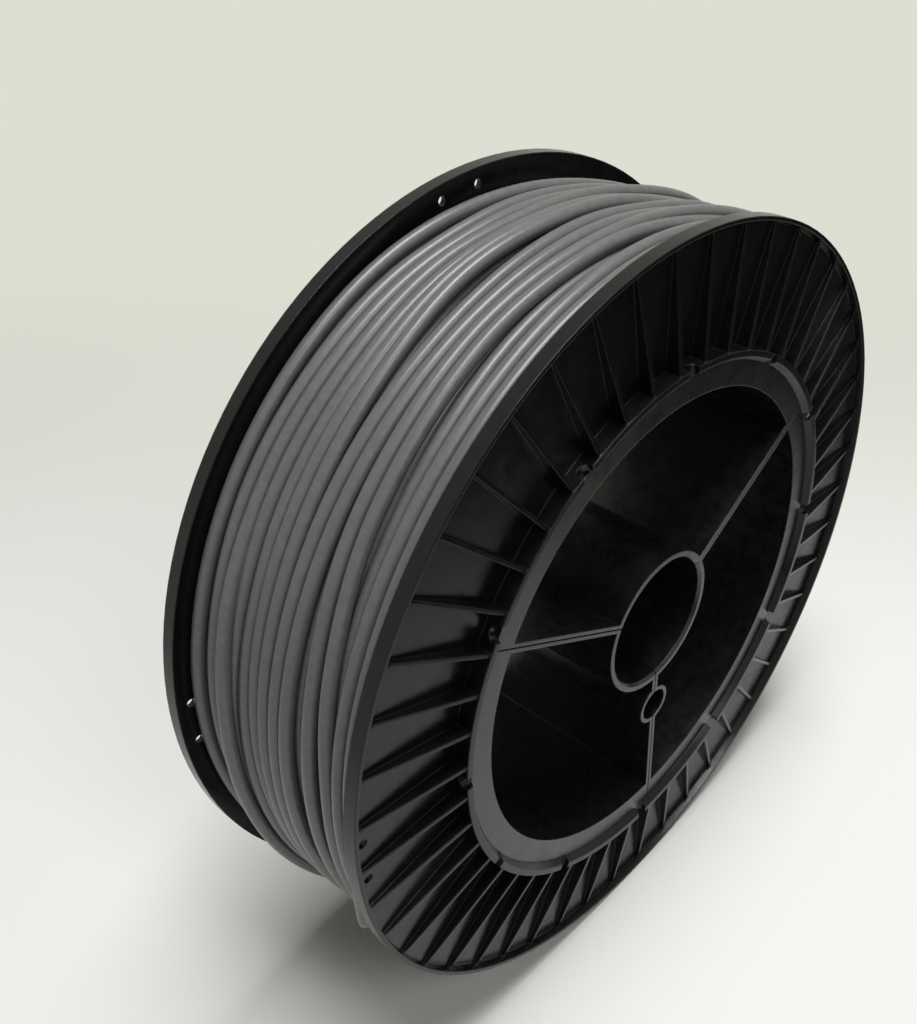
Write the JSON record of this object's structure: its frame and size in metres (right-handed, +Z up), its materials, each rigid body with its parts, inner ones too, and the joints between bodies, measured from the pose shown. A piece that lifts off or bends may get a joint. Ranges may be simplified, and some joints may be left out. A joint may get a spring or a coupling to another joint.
{
  "type": "plastic welding rod reel",
  "caption": "Round plastic welding rod wound on an open moulded reel with ribbed flanges, webbed barrel and a spindle bore.",
  "frame": {"origin": "centre of the reel, on the axis of the spindle bore, half way between the two flanges", "axes": "+Y along the axis of the reel from the front flange to the back one, +Z up; the reel stands on its two rims with the drive hole under the spindle bore"},
  "size_m": [0.3, 0.097, 0.3],
  "materials": {
    "reel": "moulded black polystyrene, satin",
    "rod": "extruded grey PVC, satin"
  },
  "bodies": {
    "root": {"front_flange": "reel", "back_flange": "reel", "core_top": "reel", "core_left": "reel", "core_right": "reel", "rod_coil": "rod"}
  },
  "joints": []
}
